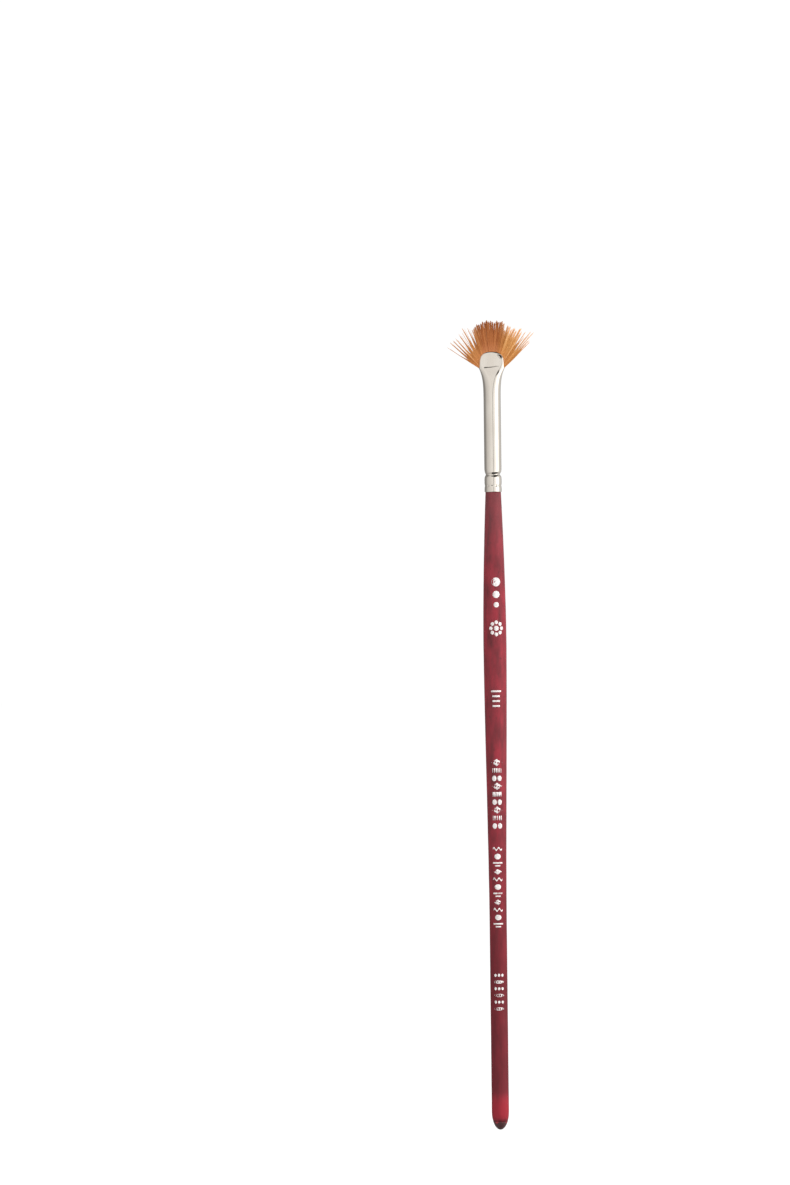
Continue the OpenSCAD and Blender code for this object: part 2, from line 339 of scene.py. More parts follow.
def nickel():
    """Polished nickel plate on drawn tube: faint lengthwise draw lines, a few cloudy patches, a painted
    dark reflection in the dented corner of the lip, and painted shade in the crease, the deep crimp's
    rims and the lip."""
    material, n = new_material("nickel")
    drawn = n.noise(millimetres(n, (7.0, 7.0, 0.12)), 1.0, 3.0, 0.6)
    cloudy = n.noise(millimetres(n, (0.5, 0.5, 0.2)), 1.0, 3.0, 0.5)
    dark_reflection_mask = painted_dark_reflection(n)
    base = n.blend(n.span(cloudy, 0.3, 0.7), (0.86, 0.80, 0.725), (0.93, 0.875, 0.80))
    # paints a dark reflection into the dented corner of the lip
    base = n.blend(dark_reflection_mask, base, DARK_REFLECTION_COLOUR)
    # paints shade into the crease, the deep crimp's rims and the top of the lip
    base = n.blend(n.math("MULTIPLY", painted_shade_lines(n), 0.85), base, PAINTED_SHADE_COLOUR)
    rough = n.math("ADD", n.span(drawn, 0.3, 0.7, 0.05, 0.10), n.span(cloudy, 0.4, 0.8, 0.0, 0.04))
    rough = n.math("ADD", rough, n.math("MULTIPLY", dark_reflection_mask, 0.35))
    surface(n, Base_Color=base, Metallic=1.0, Roughness=rough, Normal=n.bump(drawn, 0.002 * MM, 0.5))
    return material


# Shades of brown and of golden hair, from the darkest tone to the palest.
BROWN_HAIR = [(0.0, (0.175, 0.050, 0.015)), (0.45, (0.265, 0.086, 0.027)),
              (0.8, (0.350, 0.140, 0.050)), (1.0, (0.54, 0.29, 0.14))]
GOLDEN_HAIR = [(0.0, (0.270, 0.100, 0.022)), (0.45, (0.390, 0.175, 0.050)),
               (0.8, (0.480, 0.250, 0.090)), (1.0, (0.66, 0.44, 0.24))]
BROWN_ROOT = (0.37, 0.142, 0.060)
GOLDEN_ROOT = (0.40, 0.155, 0.042)
BROWN_TIP = (0.200, 0.058, 0.018)
GOLDEN_TIP = (0.68, 0.39, 0.20)
FAN_LEAN = 0.8          # how strongly the hairs shade together, as one sheet
HAIR_LIT = 0.78         # the lit colour is a little darker than the ramps,
HAIR_GLOW = 0.70        # as a glow stands in for the light that passes through the hair


def sheet_normal(n, own):
    """The hair's own normal, leaning to the front or the back of the fan, whichever it faces."""
    facing = n.add("ShaderNodeSeparateXYZ", {"Vector": own}).outputs["Y"]
    lean = n.span(facing, -0.5, 0.5, -FAN_LEAN, FAN_LEAN)
    sheet = n.add("ShaderNodeCombineXYZ", {"X": 0.0, "Y": lean, "Z": 0.0}).outputs[0]
    leaning = n.add("ShaderNodeVectorMath", {0: own, 1: sheet}, operation="ADD").outputs[0]
    return n.add("ShaderNodeVectorMath", {0: leaning}, operation="NORMALIZE").outputs[0]


def filament():
    """Golden-brown synthetic filament, coloured by what each hair carries: its tone, the place along
    it, and how golden it is."""
    material, n = new_material("filament")
    carried = n.add("ShaderNodeAttribute", attribute_name="hair").outputs["Color"]
    tone, along, golden = n.add("ShaderNodeSeparateColor", {"Color": carried}).outputs
    base = n.blend(golden, n.ramp(tone, BROWN_HAIR), n.ramp(tone, GOLDEN_HAIR))
    root = n.blend(golden, BROWN_ROOT, GOLDEN_ROOT)
    base = n.blend(n.span(along, 0.0, 0.45, 0.6, 0.0), base, root)
    brown_end = n.math("MULTIPLY", n.span(along, 0.5, 1.0, 0.0, 0.5), n.math("SUBTRACT", 1.0, golden))
    base = n.blend(brown_end, base, BROWN_TIP)
    golden_end = n.math("MULTIPLY", n.span(along, 0.55, 1.0, 0.0, 0.7), golden)
    base = n.blend(golden_end, base, GOLDEN_TIP)
    fine = n.noise(millimetres(n, (6.0, 6.0, 2.0)), 1.0, 2.0, 0.5)
    lit = n.blend(1.0, base, (HAIR_LIT, HAIR_LIT, HAIR_LIT), "MULTIPLY")
    surface(n, Base_Color=lit, Roughness=n.span(fine, 0.3, 0.7, 0.50, 0.64), Specular_IOR_Level=0.1,
            Emission_Color=base, Emission_Strength=HAIR_GLOW,
            Normal=sheet_normal(n, n.bump(fine, 0.004 * MM, 0.4)))
    return material


def white_ink():
    material, n = new_material("white_ink")
    worn = n.noise(millimetres(n, (2.2, 2.2, 2.2)), 1.0, 3.0, 0.6)
    base = n.blend(n.span(worn, 0.30, 0.62), (0.50, 0.45, 0.45), (0.70, 0.68, 0.68))
    surface(n, Base_Color=base, Roughness=n.span(worn, 0.3, 0.7, 0.55, 0.42), Specular_IOR_Level=0.4,
            Normal=n.bump(worn, 0.005 * MM, 0.5))
    return material


def turned_wood():
    material, n = new_material("turned_wood")
    rings = n.add("ShaderNodeTexWave", {"Vector": millimetres(n, (0.9, 0.9, 0.03)), "Scale": 1.0,
                                        "Distortion": 3.0, "Detail": 3.0}).outputs["Fac"]
    base = n.blend(rings, (0.50, 0.33, 0.17), (0.66, 0.48, 0.28))
    surface(n, Base_Color=base, Roughness=n.span(rings, 0.0, 1.0, 0.62, 0.5),
            Normal=n.bump(rings, 0.02 * MM, 0.5))
    return material


def cured_glue():
    material, n = new_material("cured_glue")
    cloudy = n.noise(millimetres(n), 0.8, 3.0, 0.5)
    base = n.blend(cloudy, (0.52, 0.38, 0.12), (0.70, 0.56, 0.24))
    surface(n, Base_Color=base, Roughness=n.span(cloudy, 0.2, 0.8, 0.18, 0.34),
            Normal=n.bump(cloudy, 0.02 * MM, 0.5))
    return material


def twisted_thread():
    material, n = new_material("twisted_thread")
    twist = n.add("ShaderNodeTexWave", {"Vector": millimetres(n, (2.0, 2.0, 5.0)), "Scale": 1.0,
                                        "Distortion": 1.0}).outputs["Fac"]
    base = n.blend(twist, (0.55, 0.48, 0.36), (0.78, 0.72, 0.60))
    surface(n, Base_Color=base, Roughness=0.8, Normal=n.bump(twist, 0.03 * MM, 0.6))
    return material


def packed_roots():
    """The filaments' straight roots inside the ferrule, seen end on between the hairs at the lip."""
    material, n = new_material("packed_roots")
    strands = n.noise(millimetres(n, (9.0, 9.0, 0.4)), 1.0, 2.0, 0.5)
    base = n.ramp(strands, [(0.3, (0.20, 0.055, 0.020)), (0.5, (0.40, 0.14, 0.045)),
                            (0.7, (0.56, 0.24, 0.09))])
    surface(n, Base_Color=base, Roughness=n.span(strands, 0.3, 0.7, 0.55, 0.4),
            Normal=n.bump(strands, 0.03 * MM, 0.8))
    return material


# ---------------------------------------------------------------- meshes

def add_object(name, mesh, material):
    for polygon in mesh.polygons:
        polygon.use_smooth = True
    mesh.materials.append(material)
    piece = bpy.data.objects.new(name, mesh)
    bpy.context.scene.collection.objects.link(piece)
    return piece


def to_mesh(name, bm):
    mesh = bpy.data.meshes.new(name)
    bm.to_mesh(mesh)
    bm.free()
    return mesh


def ring_mesh(name, rings, closed):
    """A skin over rings of points, each ring a list of the same length or one lone point.
    closed joins the last ring to the first, as in a tube with a wall."""
    bm = bmesh.new()
    made = [[bm.verts.new(p) for p in ring] for ring in rings]
    pairs = list(zip(made, made[1:])) + ([(made[-1], made[0])] if closed else [])
    for low, high in pairs:
        for k in range(max(len(low), len(high))):
            corners = [low[k % len(low)], low[(k + 1) % len(low)],
                       high[(k + 1) % len(high)], high[k % len(high)]]
            bm.faces.new(list(dict.fromkeys(corners)))
    bmesh.ops.recalc_face_normals(bm, faces=bm.faces)
    return to_mesh(name, bm)


LATHE_SIDES = 96
COAT_UNEVEN = 0.012     # how far the coating's surface strays from round
UNEVEN_ROUND = 1.2      # how quickly it changes round the handle,
UNEVEN_UP = 0.22        # and along it


def lathe_rings(profile):
    """Rings from a profile of (radius, height), with a very small hand-made unevenness."""
    rings = []
    for radius, height in profile:
        if radius < 1e-6:
            rings.append([at(0, 0, height)])
            continue
        ring = []
        for k in range(LATHE_SIDES):
            a = 2 * math.pi * k / LATHE_SIDES
            around = Vector((math.cos(a) * UNEVEN_ROUND, math.sin(a) * UNEVEN_ROUND, height * UNEVEN_UP))
            r = radius + COAT_UNEVEN * noise.noise(around)
            ring.append(at(r * math.cos(a), r * math.sin(a), height))
        rings.append(ring)
    return rings


# ---------------------------------------------------------------- handle

SWELL_STRAIGHT = 0.4    # share of the long swell that is a straight taper
FALL_POWER = 1.7        # how late the belly falls to the neck
RING_STEP = 0.75        # between the coating's rings
EDGE_GAP = 0.01         # between the coating and the dip


def handle_radius(height):
    """The turned outline: round tail, straight shank, long swell to the belly, fall to the neck."""
    if height < TAIL_H:
        return SHANK_R * math.sqrt(max(0.0, 1 - (1 - height / TAIL_H) ** 2))
    if height < SHANK_TOP:
        return SHANK_R
    if height < BELLY_Z:
        f = (height - SHANK_TOP) / (BELLY_Z - SHANK_TOP)
        rounded = (1 - math.cos(math.pi * f)) / 2
        return mix(SHANK_R, BELLY_R, SWELL_STRAIGHT * f + (1 - SWELL_STRAIGHT) * rounded)
    f = min(1.0, (height - BELLY_Z) / (MOUTH - BELLY_Z))
    return mix(BELLY_R, NECK_R, f ** FALL_POWER)


def make_coating(material):
    count = int((MOUTH - DIP_TOP) / RING_STEP)
    heights = [DIP_TOP + EDGE_GAP + (MOUTH - DIP_TOP) * k / count for k in range(count + 1)]
    heights.append(MOUTH + COAT_INSIDE)
    outside = [(handle_radius(z), z) for z in heights]
    inside = [(r - COAT_T, z) for r, z in outside[::-1]]
    mesh = ring_mesh("handle_coating", lathe_rings(outside + inside), closed=True)
    coating = add_object("handle_coating", mesh, material)
    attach(coating, "brush_body")
    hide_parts("handle_coat")


def make_dip(material):
    """The dip round the tail's tip: its rings stand closest at the very tip."""
    inner_start, last_gap = 0.3, 0.05
    heights = [TAIL_H * (1 - math.cos(math.radians(angle))) for angle in range(3, 90, 3)]
    heights = [z for z in heights if z < DIP_TOP - last_gap] + [DIP_TOP]
    outside = [(0.0, 0.0)] + [(handle_radius(z), z) for z in heights]
    inside = [(handle_radius(z) - COAT_T, z) for z in heights[::-1] if z > inner_start]
    mesh = ring_mesh("dipped_tail", lathe_rings(outside + inside + [(0.0, COAT_T)]), closed=False)
    tail = add_object("dipped_tail", mesh, material)
    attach(tail, "brush_body")
    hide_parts("tip_dip")


# ---------------------------------------------------------------- ferrule

FERRULE_SIDES = 160
DEEP_SHAPE = (0.12, 1.3)        # depth and half height of the deep crimp,
BITE_SHAPE = (0.22, 0.60)       # of the narrow groove at its bottom,
LIGHT_SHAPE = (0.06, 0.7)       # of the light crimp,
JAW_SHAPE = (0.10, 0.26)        # and of the jaws' marks in it
JAW_MARKS = 14
EDGE_ROUND = 0.56       # width of the rounded edge at each side of the head
EDGE_LOSS = 0.85        # and how much narrower than the tube's it gets in the flare
EDGE_POWER = 3.2
CREASE_DEEP = 0.055
CREASE_WIDE = 0.10
ROLL_REACH = 0.26       # the face starts to turn in this far from the lip's edge,
ROLL_IN = 0.13          # and has turned in this far at the edge
LIP_ROUND = 0.04        # how far the cut edge itself bulges
DENT_DEEP = 0.10
DENT_LONG = 0.62
DENT_WIDE = 0.32


def groove(height, centre, depth, half):
    """A smooth groove of this depth, running half this far each way."""
    u = abs(height - centre) / half
    return depth * (1 + math.cos(math.pi * u)) / 2 if u < 1 else 0.0


def crimp(height, angle):
    """How far the two crimps press the tube in: round the tube they wander up and down a little,
    the deep one bites deeper on one side, and the light one carries the marks of the jaws."""
    wander = 0.07 * math.sin(angle + 0.6) + 0.03 * math.sin(5 * angle)
    bite = 1 + 0.22 * math.cos(angle + math.radians(40)) + 0.10 * math.sin(7 * angle)
    jaws = 0.6 + 0.4 * math.sin(JAW_MARKS * angle + 1.5 * math.sin(2 * angle))
    deep = groove(height, DEEP_CRIMP, *DEEP_SHAPE)
    deep += bite * groove(height, BITE_LINE + wander, *BITE_SHAPE)
    light = groove(height, LIGHT_CRIMP, *LIGHT_SHAPE)
    light += jaws * groove(height, LIGHT_CRIMP + wander, *JAW_SHAPE)
    return deep + light


def swell(height):
    """How far the tube has flared: 0 at the round tube, 1 at the head."""
    return (max(0.0, min(height, SHOULDER) - FLARE) / FLARE_H) ** FLARE_POWER


def half_width(height, inset):
    return mix(TUBE_R, HEAD_HALF, swell(height)) - inset


def half_thickness(height, inset):
    """The pressed faces ease from the flare into the flat head, over EASE each way."""
    pressed = [swell(height + EASE * k / 4) for k in range(-4, 5)]
    return mix(TUBE_R, HEAD_T, sum(pressed) / len(pressed)) - inset


def round_width(height):
    """Width of the rounded edge at each side of the pressed face."""
    flared = max(0.0, min(height, SHOULDER) - FLARE) / FLARE_H
    in_head = smooth(SHOULDER, SHOULDER + 1.2, height)
    return mix(TUBE_R - EDGE_LOSS * flared ** EDGE_POWER, EDGE_ROUND, in_head)


def face_depth(x, height, inset):
    """Half the tube's thickness at x: flat in the middle and round at both edges, with a shallow
    crease pressed across the head where it meets the flare."""
    edge = round_width(height) - inset
    past = max(0.0, abs(x) - (half_width(height, inset) - edge)) / edge
    depth = half_thickness(height, inset) * math.sqrt(max(0.0, 1 - past * past))
    across = x / CREASE_HALF
    crease = SHOULDER + CREASE_UP + CREASE_TILT * across + CREASE_SAG * across ** 2
    deep = CREASE_DEEP * smooth(1.0, 0.55, abs(across))
    return depth - deep * math.exp(-((height - crease) / CREASE_WIDE) ** 2)


def lip_roll(x, height):
    """How far the face turns in at the cut edge of the lip."""
    up = max(0.0, height - SHOULDER) / ARCH_H
    out = min(1.0, abs(x) / HEAD_HALF)
    level = out ** ARCH_POWER + up ** ARCH_POWER
    steep = ARCH_POWER * math.hypot(out ** (ARCH_POWER - 1) / HEAD_HALF, up ** (ARCH_POWER - 1) / ARCH_H)
    near = 1 - max(0.0, 1 - level) / max(steep, 1e-6) / ROLL_REACH
    return ROLL_IN * max(0.0, near) ** 2 if up > 0 else 0.0


def arch(angle):
    """The lip's outline, a squarish half ellipse: how far sideways and up, as shares, and the
    direction that points straight out of it."""
    c = math.cos(angle)
    x = math.copysign(abs(c) ** (2 / ARCH_POWER), c)
    z = abs(math.sin(angle)) ** (2 / ARCH_POWER)
    normal = Vector((math.copysign(abs(x) ** (ARCH_POWER - 1) / HEAD_HALF, x), 0,
                     z ** (ARCH_POWER - 1) / ARCH_H))
    return x, z, normal.normalized()


def tube_ring(height, inset):
    ring = []
    for k in range(FERRULE_SIDES):
        a = 2 * math.pi * k / FERRULE_SIDES
        r = half_width(height, inset) - crimp(height, a)
        x, y = r * math.cos(a), r * math.sin(a)
        if height > FLARE:
            y = math.copysign(face_depth(x, height, inset), math.sin(a))
        ring.append(at(x, y, height))
    return ring


def head_ring(share, inset, out=0.0):
    """A ring between the flare's last level ring (share 0) and the arched lip (share 1)."""
    ring = []
    for k in range(FERRULE_SIDES):
        a = 2 * math.pi * k / FERRULE_SIDES
        ax, az, normal = arch(a)
        x = mix(half_width(HEAD_BASE, inset) * math.cos(a), (HEAD_HALF - inset) * ax, share)
        z = mix(HEAD_BASE, SHOULDER + ARCH_H * az, share)
        risen = min(1.0, (z - HEAD_BASE) / (SHOULDER - HEAD_BASE))
        x *= half_width(z, inset) / mix(half_width(HEAD_BASE, inset), HEAD_HALF - inset, risen)
        y = face_depth(x, z, inset) if k % (FERRULE_SIDES // 2) else 0.0
        if inset == 0 or out > 0:
            y = max(0.0, y - lip_roll(x, z))
        if math.sin(a) < 0:
            along = x - DENT[0] - (z - DENT[2])
            off = x - DENT[0] + (z - DENT[2])
            y = max(0.0, y - DENT_DEEP * math.exp(-(along / DENT_LONG) ** 2 - (off / DENT_WIDE) ** 2))
        ring.append(at(x + out * normal.x, math.copysign(y, math.sin(a)), z + out * normal.z))
    return ring


def make_ferrule(metal):
    """The tube as one skin: up the outside, over the lip, down the inside and round the mouth. Its
    rings stand close at the crimps, far apart on the plain tube and ever closer up the flare."""
    mouth_roll = 0.1
    crimp_rings, crimp_step = 62, 0.09
    plain_rings, flare_rings, head_rings = 12, 40, 110
    crowding = 1.5
    heights = [MOUTH + mouth_roll + crimp_step * k for k in range(crimp_rings)]
    crimps_end = heights[-1]
    heights += [crimps_end + (FLARE - crimps_end) * k / plain_rings for k in range(1, plain_rings + 1)]
    heights += [FLARE + (HEAD_BASE - FLARE) * (1 - (1 - k / flare_rings) ** crowding)
                for k in range(1, flare_rings + 1)]
    shares = [k / head_rings for k in range(1, head_rings + 1)]
    turns = [math.radians(angle) for angle in range(30, 180, 30)]
    half_sheet = SHEET_T / 2

    outside = [tube_ring(z, 0) for z in heights] + [head_ring(s, 0) for s in shares]
    lip = [head_ring(1, half_sheet * (1 - math.cos(t)), LIP_ROUND * math.sin(t)) for t in turns]
    inside = [head_ring(s, SHEET_T) for s in shares[::-1]]
    inside += [tube_ring(z, SHEET_T) for z in heights[::-1]]
    mouth = [tube_ring(MOUTH + mouth_roll * (1 - math.sin(t)), half_sheet * (1 + math.cos(t)))
             for t in turns]
    mesh = ring_mesh("ferrule_tube", outside + lip + inside + mouth, closed=True)
    tube = add_object("ferrule_tube", mesh, metal)
    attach(tube, "brush_body")
    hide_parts("ferrule")


# ---------------------------------------------------------------- hair

FAN_LEFT = -56.0        # edges of the eleven locks' fan, in degrees from upright
FAN_RIGHT = 46.0
ROOT_SPREAD = 1.12      # the hair leaves the lip a little wider than it points
HAIR_R = 0.055
HAIR_SIDES = 5
HAIR_STEPS = 12
ROOT_DEPTH = 0.7        # how far each hair starts inside the lip
ROOT_CLEAR = 0.02       # how far its skin stays off the metal there
LOWEST_START = SHOULDER + 0.1           # no hair leaves the lip lower than this

# The tufts that the fan's two ends split into: direction, reach from the focus, and hairs.
LEFT_SPIKES = [(-56.5, 12.2, 10), (-50.6, 12.1, 34), (-46.8, 12.2, 20), (-43.4, 12.2, 20),
               (-37.8, 12.2, 44), (-31.2, 12.9, 46), (-26.3, 12.2, 26), (-22.4, 11.5, 34)]
RIGHT_TUFTS = [(16.3, 10.9, 26), (18.6, 12.0, 34), (20.9, 12.0, 34), (23.4, 11.5, 34),
               (26.2, 12.1, 36), (28.9, 11.7, 32), (32.0, 12.7, 36), (34.4, 12.1, 20)]
RIGHT_SPIKES = [(38.0, 12.6, 28), (40.0, 11.4, 16), (41.8, 13.5, 24), (44.3, 13.7, 16),
                (46.6, 11.9, 22), (48.9, 11.6, 18)]
BLOCK_LEFT = -20.4      # the dense block between them, in degrees
BLOCK_RIGHT = 14.6
BLOCK_HAIRS = 42        # in each of its tufts
BLOCK_REACH = 11.2      # of its left edge, which is 1 mm lower than the rest

# Looseness: 0 gathers a tuft's hairs at its tip, 1 lets every hair keep its own direction.
SPIKE_LOOSE = 0.08
BLOCK_LOOSE = 0.6
TUFT_LOOSE = 0.42
STRAY_SHARE = 0.05      # of all hairs keep their own direction
PALE_SHARE = 0.02       # of all hairs have the palest tone
FAN_HALF = 0.28         # half the fan's thickness
BOW = 0.06              # how far hairs bow sideways,
SWAY = 0.10             # lean forwards or back,
HOOK = 0.10             # and hook at the tip, in most cases
SEED = 24


def lip_distance(angle):
    """Distance from the fan's focus to the arched lip, by halving."""
    low = 0.0
    high = 9.0
    for _ in range(24):
        mid = (low + high) / 2
        x = mid * abs(math.sin(angle)) / HEAD_HALF
        z = max(0.0, FOCUS + mid * math.cos(angle) - SHOULDER) / ARCH_H
        if x ** ARCH_POWER + z ** ARCH_POWER > 1:
            high = mid
        else:
            low = mid
    return low


def spikes(rng):
    """The tufts that the hair gathers into, each (direction, reach, hairs, looseness, gold). The left
    of the fan is split into thin spikes, the middle is a dense ragged block, and past a notch the
    right is golden tufts and thin spikes, some of them long."""
    left_gold, right_gold = 0.45, 0.8
    found = [(angle, reach, hairs, SPIKE_LOOSE, left_gold) for angle, reach, hairs in LEFT_SPIKES]
    angle = BLOCK_LEFT
    while angle < BLOCK_RIGHT:
        reach = BLOCK_REACH + smooth(-20.5, -16.5, angle) + rng.uniform(-0.1, 0.5)
        gold = 0.25 * smooth(-14.0, -20.0, angle) + 0.35 * smooth(8.0, 14.0, angle)
        found.append((angle, reach, BLOCK_HAIRS, BLOCK_LOOSE, gold))
        angle += rng.uniform(1.6, 2.4)
    for angle, reach, hairs in RIGHT_TUFTS:
        gold = mix(0.45, 0.85, smooth(15.0, 22.0, angle))
        found.append((angle, reach, hairs, TUFT_LOOSE, gold))
    found += [(angle, reach, hairs, SPIKE_LOOSE, right_gold) for angle, reach, hairs in RIGHT_SPIKES]
    return found


def clump_tone(angle, depth):
    """Neighbouring hairs share their shade, so the fan shows streaks and not specks."""
    wide = noise.noise(Vector((angle * 0.28, depth * 0.12, 3.7)))
    narrow = noise.noise(Vector((angle * 0.9, depth * 0.2, 9.1)))
    return 0.5 + 0.55 * wide + 0.40 * narrow


def fan_point(turn, distance):
    return Vector((math.sin(turn), math.cos(turn))) * distance


def slot_limit(points):
    """How far from the middle a hair can lie where it leaves the lip, at the points it passes."""
    room = min(face_depth(p.x, FOCUS + p.y, SHEET_T) for p in points)
    return max(0.0, room - HAIR_R - ROOT_CLEAR)


def hair_path(rng, root_angle, spike):
    """Points along one hair, from inside the ferrule to its tip, with its thickness and colour."""
    angle, reach, _, loose, gold = spike
    root_turn = math.radians(root_angle * ROOT_SPREAD)
    lip = lip_distance(root_turn)
    wild = mix(0.35, 0.6, smooth(0.0, 0.5, loose))
    late = smooth(0.1, 0.4, loose)
    ragged = mix(0.9, 0.24, smooth(0.0, 0.5, loose))
    reach -= abs(rng.gauss(0, ragged)) + 0.30 * abs(root_angle - angle)
    if rng.random() < STRAY_SHARE:
        loose = 1.0
    tip_turn = math.radians(mix(angle, root_angle, loose) + rng.gauss(0, 0.35) * wild)
    depth = rng.uniform(-1, 1)
    tone = clump_tone(root_angle, depth) + rng.gauss(0, 0.02)
    if rng.random() < PALE_SHARE:
        tone = 1.0
    depth *= FAN_HALF
    bow = rng.gauss(0, BOW) * wild
    sway = rng.gauss(0, SWAY) * wild
    fluff = rng.uniform(1.0, 1.5)
    hook = rng.gauss(0, HOOK) * wild
    inside = fan_point(root_turn, lip - ROOT_DEPTH)
    start = fan_point(root_turn, lip)
    start.y = max(start.y, LOWEST_START - FOCUS)
    limit = slot_limit([inside, inside.lerp(start, 0.6), inside.lerp(start, 0.95)])
    root_depth = max(-limit, min(limit, depth))
    tip = fan_point(tip_turn, reach)
    straight = fan_point(math.radians(root_angle), reach)
    side = Vector((tip - start).orthogonal()).normalized()
    points = [(Vector((inside.x, root_depth, FOCUS + inside.y)), HAIR_R, (tone, 0.0, gold))]
    for k in range(HAIR_STEPS + 1):
        out = k / HAIR_STEPS
        gather = smooth(mix(0.26, 0.55, late), mix(0.74, 1.0, late), out)
        place = start.lerp(straight, out).lerp(start.lerp(tip, out), gather)
        place += side * (bow * math.sin(math.pi * out) + hook * out ** 5)
        spread = mix(1.0, fluff, math.sin(math.pi * min(out, 0.9)))
        closing = mix(1.0, 0.4, smooth(0.4, 1.0, out))
        y = mix(root_depth, depth, smooth(0.0, 0.2, out)) * spread * closing
        y += sway * out * out
        thick = HAIR_R * mix(1.0, 0.35, smooth(0.45, 1.0, out))
        points.append((Vector((place.x, y, FOCUS + place.y)), thick, (tone, out, gold)))
    return points


def add_hair(bm, layer, points):
    """A closed tapering tube along the points."""
    rings = []
    for k, (centre, thick, colour) in enumerate(points):
        ahead = points[min(k + 1, len(points) - 1)][0] - points[max(k - 1, 0)][0]
        side = ahead.cross(Vector((0, 1, 0))).normalized()
        front = side.cross(ahead).normalized()
        ring = []
        for j in range(HAIR_SIDES):
            a = 2 * math.pi * j / HAIR_SIDES
            p = centre + thick * (math.cos(a) * side + math.sin(a) * front)
            vertex = bm.verts.new(at(p.x, p.y, p.z))
            vertex[layer] = (*colour, 1.0)
            ring.append(vertex)
        rings.append(ring)
    for low, high in zip(rings, rings[1:]):
        for j in range(HAIR_SIDES):
            n = (j + 1) % HAIR_SIDES
            bm.faces.new((low[j], low[n], high[n], high[j]))
    bm.faces.new(rings[0][::-1])
    bm.faces.new(rings[-1])


def grow_hairs(locks, step):
    """The hairs of each lock: every tuft takes its hairs' roots from halfway to its neighbours."""
    rng = random.Random(SEED)
    gathered = spikes(rng)
    left_margin, right_margin = 0.8, 4.0
    directions = [spike[0] for spike in gathered]
    halfway = [(a + b) / 2 for a, b in zip(directions, directions[1:])]
    edges = [FAN_LEFT - left_margin] + halfway + [FAN_RIGHT + right_margin]
    hairs = {name: [] for name in locks}
    for spike, low, high in zip(gathered, edges, edges[1:]):
        direction, _, count, _, _ = spike
        lock = locks[min(len(locks) - 1, max(0, int((direction - FAN_LEFT) / step)))]
        for k in range(count):
            root_angle = mix(low, high, (k + rng.random()) / count)
            hairs[lock].append(hair_path(rng, root_angle, spike))
    return hairs


def make_hair(material):
    locks = [n for n in sorted(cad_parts) if n.startswith("lock_")]
    step = (FAN_RIGHT - FAN_LEFT) / len(locks)
    hairs = grow_hairs(locks, step)
    for index, name in enumerate(locks):
        bm = bmesh.new()
        layer = bm.verts.layers.float_color.new("hair")
        for points in hairs[name]:
            add_hair(bm, layer, points)
        bmesh.ops.recalc_face_normals(bm, faces=bm.faces)
        piece = add_object("hair_" + name, to_mesh("hair_" + name, bm), material)
        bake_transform(piece)
        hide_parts(name)


# ---------------------------------------------------------------- printed marks
# Plain generic marks stand where the print is. Each mark is drawn flat, as (across, up) points
# in millimetres, and wrapped onto the handle as a thin closed skin of ink.

INK_T = 0.012


def on_handle(across, height, lift):
    r = handle_radius(height)
    a = across / r
    return at((r + lift) * math.sin(a), -(r + lift) * math.cos(a), height)


def ink_strip(bm, lefts, rights):
    """Ink between two edges, each a list of (across, height)."""
    cells = 4
    rows = []
    for (x0, z0), (x1, z1) in zip(lefts, rights):
        spots = [(mix(x0, x1, c / cells), mix(z0, z1, c / cells)) for c in range(cells + 1)]
        top = [on_handle(x, z, INK_T) for x, z in spots]
        low = [on_handle(x, z, -INK_T) for x, z in spots]
        rows.append([bm.verts.new(p) for p in top + low[::-1]])
    for a, b in zip(rows, rows[1:]):
        for k in range(len(a)):
            n = (k + 1) % len(a)
            bm.faces.new((a[k], a[n], b[n], b[k]))
    for row in (rows[0], rows[-1]):
        half = len(row) // 2
        for c in range(half - 1):
            bm.faces.new((row[c], row[c + 1], row[-2 - c], row[-1 - c]))


def ink_line(bm, start, end, width):
    (x0, z0), (x1, z1) = start, end
    length = math.hypot(x1 - x0, z1 - z0)
    px = -(z1 - z0) / length * width / 2
    pz = (x1 - x0) / length * width / 2
    count = 6
    spots = [(mix(x0, x1, k / count), mix(z0, z1, k / count)) for k in range(count + 1)]
    ink_strip(bm, [(x + px, z + pz) for x, z in spots], [(x - px, z - pz) for x, z in spots])


def ink_block(bm, centre, half_x, half_z):
    x, z = centre
    ink_strip(bm, [(x - half_x, z - half_z), (x - half_x, z + half_z)],
              [(x + half_x, z - half_z), (x + half_x, z + half_z)])


def ink_dot(bm, centre, half_x, half_z):
    x, z = centre
    count, steepest = 12, 86
    turns = [math.radians(mix(-steepest, steepest, k / count)) for k in range(count + 1)]
    ink_strip(bm, [(x - half_x * math.cos(t), z + half_z * math.sin(t)) for t in turns],
              [(x + half_x * math.cos(t), z + half_z * math.sin(t)) for t in turns])


def ink_diamond(bm, centre, half_x, half_z):
    x, z = centre
    blunt = 0.02
    rows = [(u, 1 + blunt - abs(u)) for u in (-1, -0.5, 0, 0.5, 1)]
    ink_strip(bm, [(x - half_x * w, z + half_z * u) for u, w in rows],
              [(x + half_x * w, z + half_z * u) for u, w in rows])


def ink_wave(bm, centre, half_x, height, width):
    x, z = centre
    count = 24
    spots = [mix(-1, 1, k / count) for k in range(count + 1)]
    line = [(x + half_x * u, z + height * math.sin(2 * math.pi * u)) for u in spots]
    ink_strip(bm, [(a, b + width / 2) for a, b in line], [(a, b - width / 2) for a, b in line])


def size_mark(bm, x):
    """Three dots of falling size."""
    for height, half in ((122.4, 1.0), (119.6, 0.8), (117.3, 0.6)):
        ink_dot(bm, (x, height), half, half)


